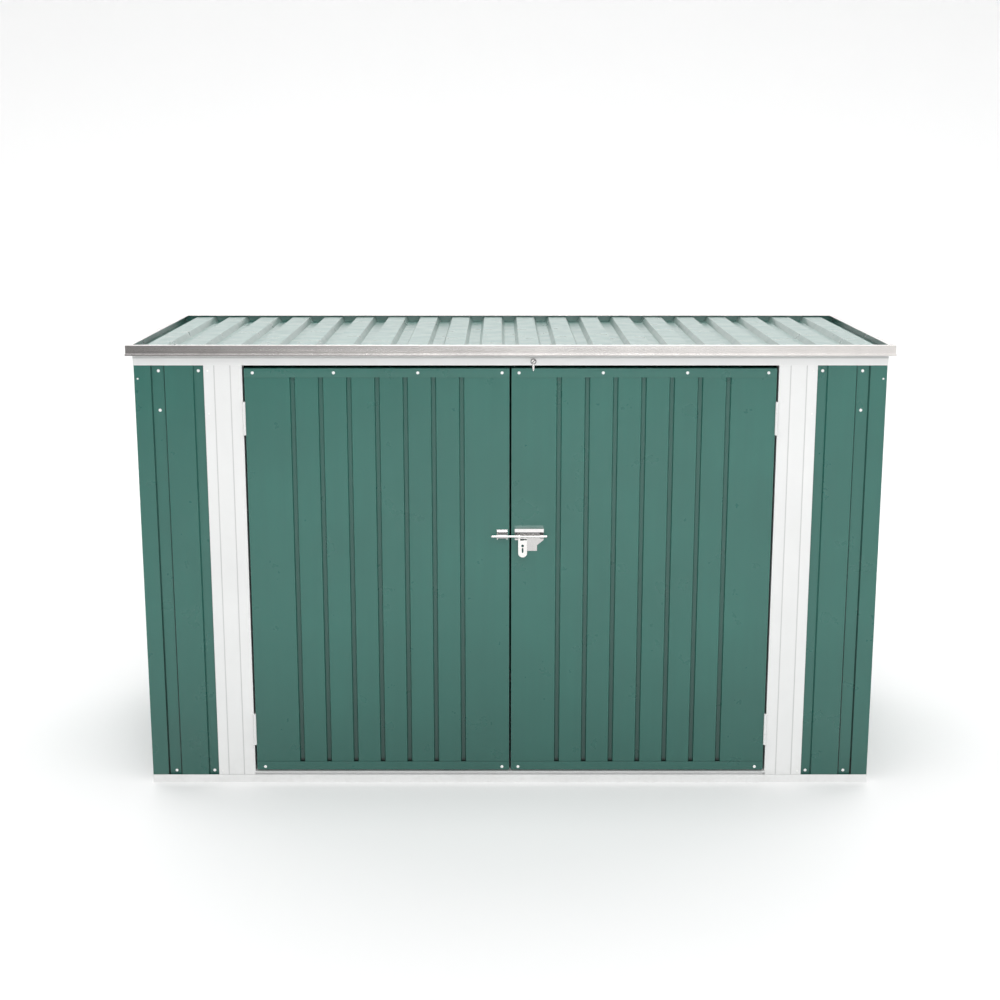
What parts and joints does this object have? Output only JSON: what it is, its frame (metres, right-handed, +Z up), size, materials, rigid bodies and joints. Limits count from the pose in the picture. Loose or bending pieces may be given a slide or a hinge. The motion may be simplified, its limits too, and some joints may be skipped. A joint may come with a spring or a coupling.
{
  "type": "metal storage shed",
  "caption": "Low, wide storage shed of ribbed steel sheet with two hinged doors, a slide bolt and a framed roof that lifts as a lid.",
  "frame": {"origin": "middle of the footprint on the ground, under the middle of the lid's outline", "axes": "+X to the right seen from the doors, +Y from the doors to the back, +Z up"},
  "size_m": [1.947, 0.883, 1.187],
  "materials": {
    "green_sheet": "satin dark sage green coating on pressed steel sheet",
    "white_trim": "satin white coating on folded steel",
    "bright_trim": "smooth bright metal edge trim",
    "galvanised": "dull galvanised steel",
    "fittings": "bright stainless steel"
  },
  "bodies": {
    "shell": {"base_rail_front": "white_trim", "base_rail_back": "white_trim", "base_rail_left": "white_trim", "base_rail_right": "white_trim", "door_sill": "white_trim", "front_panel_left": "green_sheet", "front_panel_right": "green_sheet", "left_wall": "green_sheet", "right_wall": "green_sheet", "back_wall": "green_sheet", "corner_angles": "galvanised", "door_post_left": "white_trim", "door_post_right": "white_trim", "header": "white_trim", "top_rail_back": "white_trim", "top_rail_left": "white_trim", "top_rail_right": "white_trim", "post_hinge_leaves_left": "white_trim", "post_hinge_leaves_right": "white_trim", "lid_hinge_fixed_leaves": "galvanised", "catch_stud": "fittings"},
    "door_left": {"door_left_panel": "green_sheet", "door_left_top_band": "green_sheet", "door_left_bottom_band": "green_sheet", "door_left_hinge_leaves": "white_trim", "bolt_keeper": "fittings"},
    "door_right": {"door_right_panel": "green_sheet", "door_right_top_band": "green_sheet", "door_right_bottom_band": "green_sheet", "door_right_hinge_leaves": "white_trim", "bolt_guide": "fittings"},
    "bolt": {"bolt_rod": "fittings"},
    "bolt_handle": {"bolt_handle": "fittings"},
    "turn_catch": {"turn_catch": "fittings"},
    "lid": {"lid_sheet": "green_sheet", "lid_trim_front": "bright_trim", "lid_trim_back": "bright_trim", "lid_trim_left": "bright_trim", "lid_trim_right": "bright_trim", "lid_hinge_leaves": "galvanised"}
  },
  "joints": [
    {"name": "door_left_hinge", "type": "hinge", "parent": "shell", "child": "door_left", "pos_m": [-0.6795, -0.4255, 0.5], "axis": [0, 0, -1], "range_deg": [0, 110]},
    {"name": "door_right_hinge", "type": "hinge", "parent": "shell", "child": "door_right", "pos_m": [0.6795, -0.4255, 0.5], "axis": [0, 0, 1], "range_deg": [0, 110]},
    {"name": "bolt_slide", "type": "slide", "parent": "door_right", "child": "bolt", "axis": [1, 0, 0], "range_m": [0, 0.05]},
    {"name": "handle_swing", "type": "hinge", "parent": "bolt", "child": "bolt_handle", "pos_m": [0.023, -0.4315, 0.686], "axis": [-1, 0, 0], "range_deg": [0, 100]},
    {"name": "catch_turn", "type": "hinge", "parent": "shell", "child": "turn_catch", "pos_m": [0.058, -0.4255, 1.144], "axis": [0, -1, 0], "range_deg": [0, 90]},
    {"name": "lid_hinge", "type": "hinge", "parent": "shell", "child": "lid", "pos_m": [0, 0.43278, 1.10669], "axis": [-1, 0, 0], "range_deg": [0, 70]}
  ]
}
